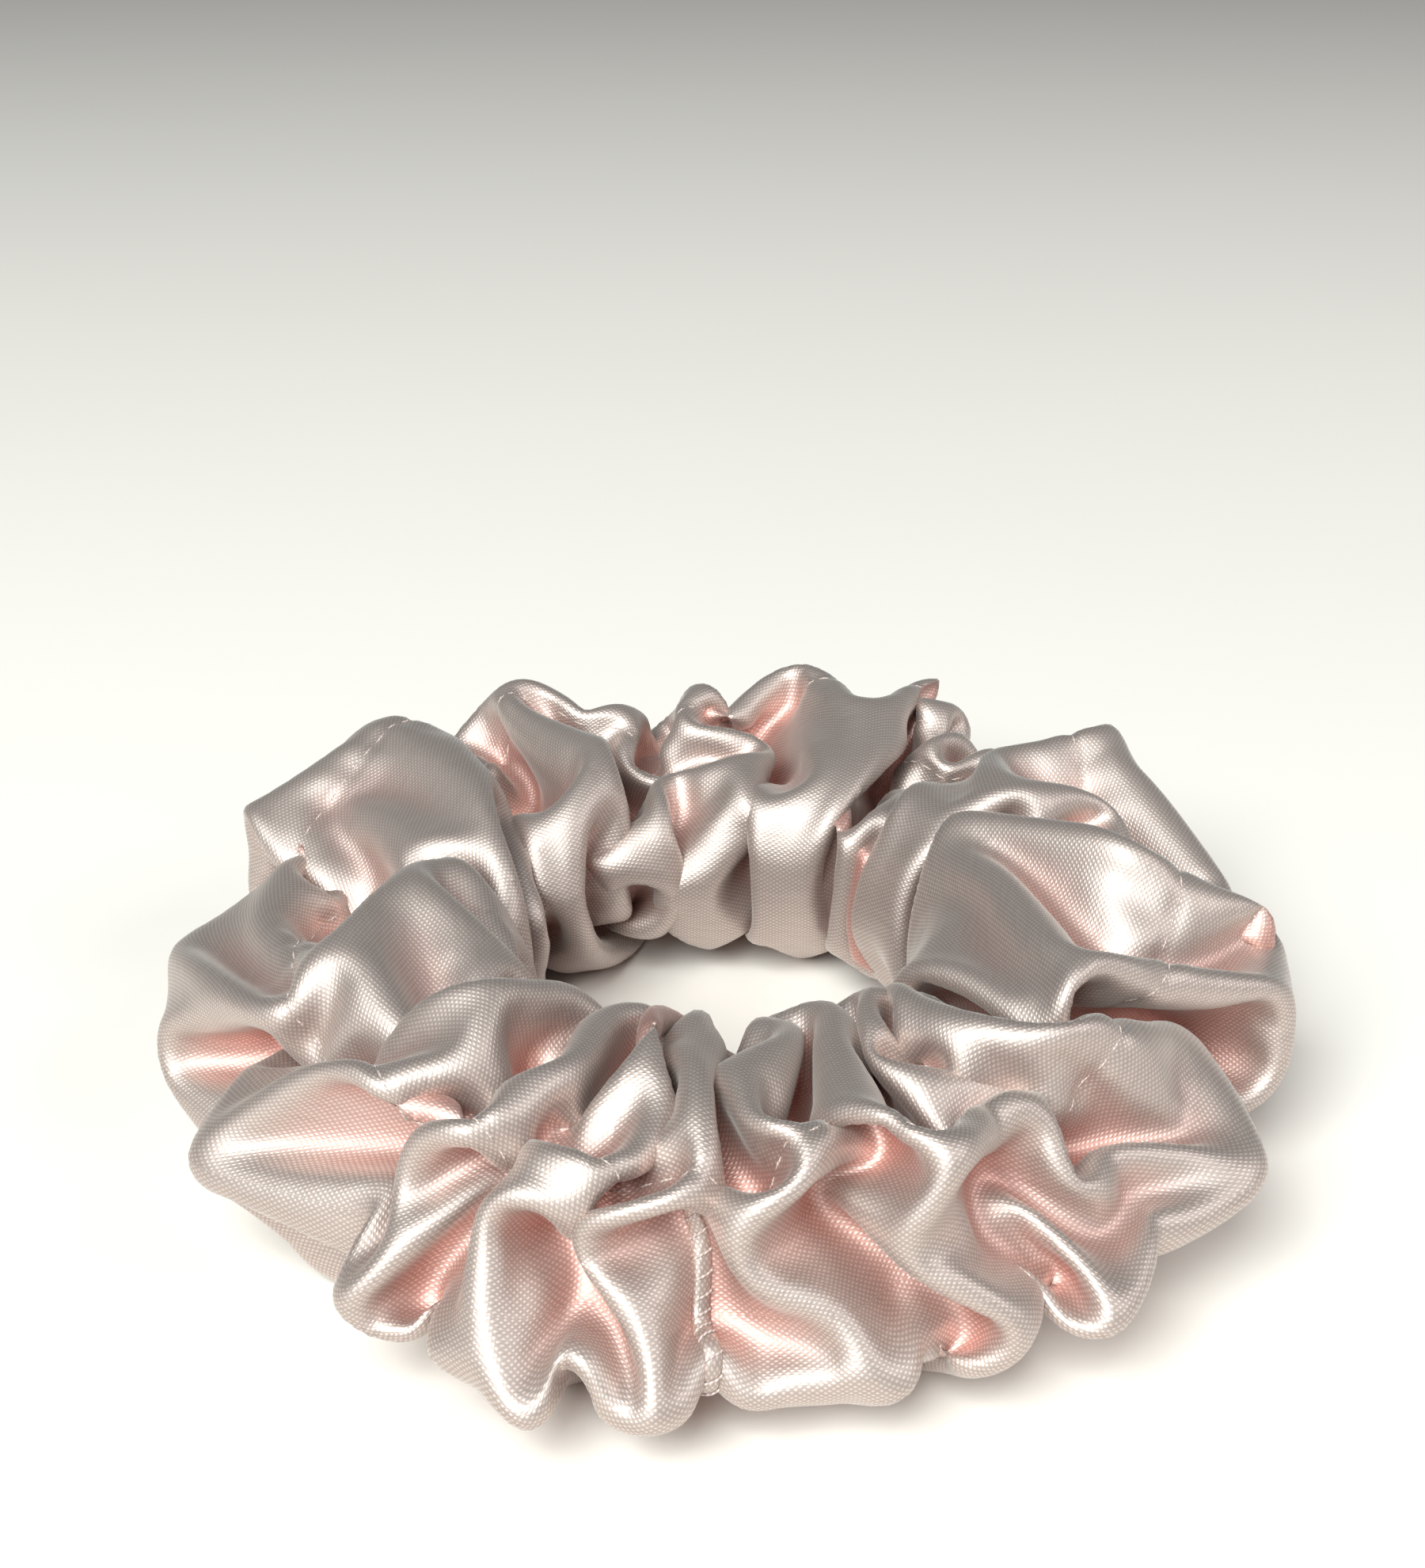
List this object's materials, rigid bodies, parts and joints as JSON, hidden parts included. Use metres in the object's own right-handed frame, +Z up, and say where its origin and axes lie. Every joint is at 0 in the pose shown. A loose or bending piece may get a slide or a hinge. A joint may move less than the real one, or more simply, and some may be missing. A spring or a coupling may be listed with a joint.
{
  "type": "hair scrunchie",
  "caption": "Gathered satin hair scrunchie lying flat: a puffed fabric tube bunched on a hidden ring of flat elastic that stretches open and springs back.",
  "frame": {"origin": "centre of the ring on the plane it rests on", "axes": "+Z up through the hair opening, +X to the right and -Y towards the closing join"},
  "size_m": [0.1034, 0.1038, 0.0283],
  "materials": {
    "satin": "silver-pink polyester satin, soft anisotropic sheen",
    "elastic": "matte braided elastic",
    "thread": "pink polyester sewing thread"
  },
  "bodies": {
    "gather_01": {"cover_gather_01": "satin", "elastic_band_01": "elastic", "seam_thread_01": "thread"},
    "gather_02": {"cover_gather_02": "satin", "elastic_band_02": "elastic", "seam_thread_02": "thread"},
    "gather_03": {"cover_gather_03": "satin", "elastic_band_03": "elastic", "seam_thread_03": "thread"},
    "gather_04": {"cover_gather_04": "satin", "elastic_band_04": "elastic", "seam_thread_04": "thread"},
    "gather_05": {"cover_gather_05": "satin", "elastic_band_05": "elastic", "seam_thread_05": "thread"},
    "gather_06": {"cover_gather_06": "satin", "elastic_band_06": "elastic", "seam_thread_06": "thread"},
    "gather_07": {"cover_gather_07": "satin", "elastic_band_07": "elastic", "seam_thread_07": "thread"},
    "gather_08": {"cover_gather_08": "satin", "elastic_band_08": "elastic", "seam_thread_08": "thread"},
    "gather_09": {"cover_gather_09": "satin", "elastic_band_09": "elastic", "seam_thread_09": "thread", "elastic_lap": "elastic", "elastic_tack": "thread", "closing_hem": "satin", "closing_stitch": "thread"},
    "gather_10": {"cover_gather_10": "satin", "elastic_band_10": "elastic", "seam_thread_10": "thread"},
    "gather_11": {"cover_gather_11": "satin", "elastic_band_11": "elastic", "seam_thread_11": "thread"},
    "gather_12": {"cover_gather_12": "satin", "elastic_band_12": "elastic", "seam_thread_12": "thread"},
    "gather_13": {"cover_gather_13": "satin", "elastic_band_13": "elastic", "seam_thread_13": "thread"},
    "gather_14": {"cover_gather_14": "satin", "elastic_band_14": "elastic", "seam_thread_14": "thread"},
    "gather_15": {"cover_gather_15": "satin", "elastic_band_15": "elastic", "seam_thread_15": "thread"},
    "gather_16": {"cover_gather_16": "satin", "elastic_band_16": "elastic", "seam_thread_16": "thread"}
  },
  "joints": [
    {"name": "stretch_02", "type": "slide", "parent": "gather_01", "child": "gather_02", "axis": [-0.9998, 0.0218, 0], "range_m": [0, 0.00819], "stiffness_N_per_m": 200},
    {"name": "stretch_03", "type": "slide", "parent": "gather_02", "child": "gather_03", "axis": [-0.932, -0.3624, 0], "range_m": [0, 0.0083], "stiffness_N_per_m": 200},
    {"name": "stretch_04", "type": "slide", "parent": "gather_03", "child": "gather_04", "axis": [-0.7224, -0.6915, 0], "range_m": [0, 0.0086], "stiffness_N_per_m": 200},
    {"name": "stretch_05", "type": "slide", "parent": "gather_04", "child": "gather_05", "axis": [-0.4027, -0.9153, 0], "range_m": [0, 0.00904], "stiffness_N_per_m": 200},
    {"name": "stretch_06", "type": "slide", "parent": "gather_05", "child": "gather_06", "axis": [-0.0218, -0.9998, 0], "range_m": [0, 0.00956], "stiffness_N_per_m": 200},
    {"name": "stretch_07", "type": "slide", "parent": "gather_06", "child": "gather_07", "axis": [0.3624, -0.932, 0], "range_m": [0, 0.01008], "stiffness_N_per_m": 200},
    {"name": "stretch_08", "type": "slide", "parent": "gather_07", "child": "gather_08", "axis": [0.6915, -0.7224, 0], "range_m": [0, 0.01053], "stiffness_N_per_m": 200},
    {"name": "stretch_09", "type": "slide", "parent": "gather_08", "child": "gather_09", "axis": [0.9153, -0.4027, 0], "range_m": [0, 0.01082], "stiffness_N_per_m": 200},
    {"name": "stretch_16", "type": "slide", "parent": "gather_01", "child": "gather_16", "axis": [0.9153, -0.4027, 0], "range_m": [0, 0.0083], "stiffness_N_per_m": 200},
    {"name": "stretch_15", "type": "slide", "parent": "gather_16", "child": "gather_15", "axis": [0.6915, -0.7224, 0], "range_m": [0, 0.0086], "stiffness_N_per_m": 200},
    {"name": "stretch_14", "type": "slide", "parent": "gather_15", "child": "gather_14", "axis": [0.3624, -0.932, 0], "range_m": [0, 0.00904], "stiffness_N_per_m": 200},
    {"name": "stretch_13", "type": "slide", "parent": "gather_14", "child": "gather_13", "axis": [-0.0218, -0.9998, 0], "range_m": [0, 0.00956], "stiffness_N_per_m": 200},
    {"name": "stretch_12", "type": "slide", "parent": "gather_13", "child": "gather_12", "axis": [-0.4027, -0.9153, 0], "range_m": [0, 0.01008], "stiffness_N_per_m": 200},
    {"name": "stretch_11", "type": "slide", "parent": "gather_12", "child": "gather_11", "axis": [-0.7224, -0.6915, 0], "range_m": [0, 0.01053], "stiffness_N_per_m": 200},
    {"name": "stretch_10", "type": "slide", "parent": "gather_11", "child": "gather_10", "axis": [-0.932, -0.3624, 0], "range_m": [0, 0.01082], "stiffness_N_per_m": 200}
  ],
  "couplings": [
    {"joint": "stretch_03", "follows": "stretch_02", "ratio": 1.0127},
    {"joint": "stretch_04", "follows": "stretch_02", "ratio": 1.0488},
    {"joint": "stretch_05", "follows": "stretch_02", "ratio": 1.1029},
    {"joint": "stretch_06", "follows": "stretch_02", "ratio": 1.1667},
    {"joint": "stretch_07", "follows": "stretch_02", "ratio": 1.2304},
    {"joint": "stretch_08", "follows": "stretch_02", "ratio": 1.2845},
    {"joint": "stretch_09", "follows": "stretch_02", "ratio": 1.3206},
    {"joint": "stretch_16", "follows": "stretch_02", "ratio": 1.0127},
    {"joint": "stretch_15", "follows": "stretch_02", "ratio": 1.0488},
    {"joint": "stretch_14", "follows": "stretch_02", "ratio": 1.1029},
    {"joint": "stretch_13", "follows": "stretch_02", "ratio": 1.1667},
    {"joint": "stretch_12", "follows": "stretch_02", "ratio": 1.2304},
    {"joint": "stretch_11", "follows": "stretch_02", "ratio": 1.2845},
    {"joint": "stretch_10", "follows": "stretch_02", "ratio": 1.3206}
  ]
}
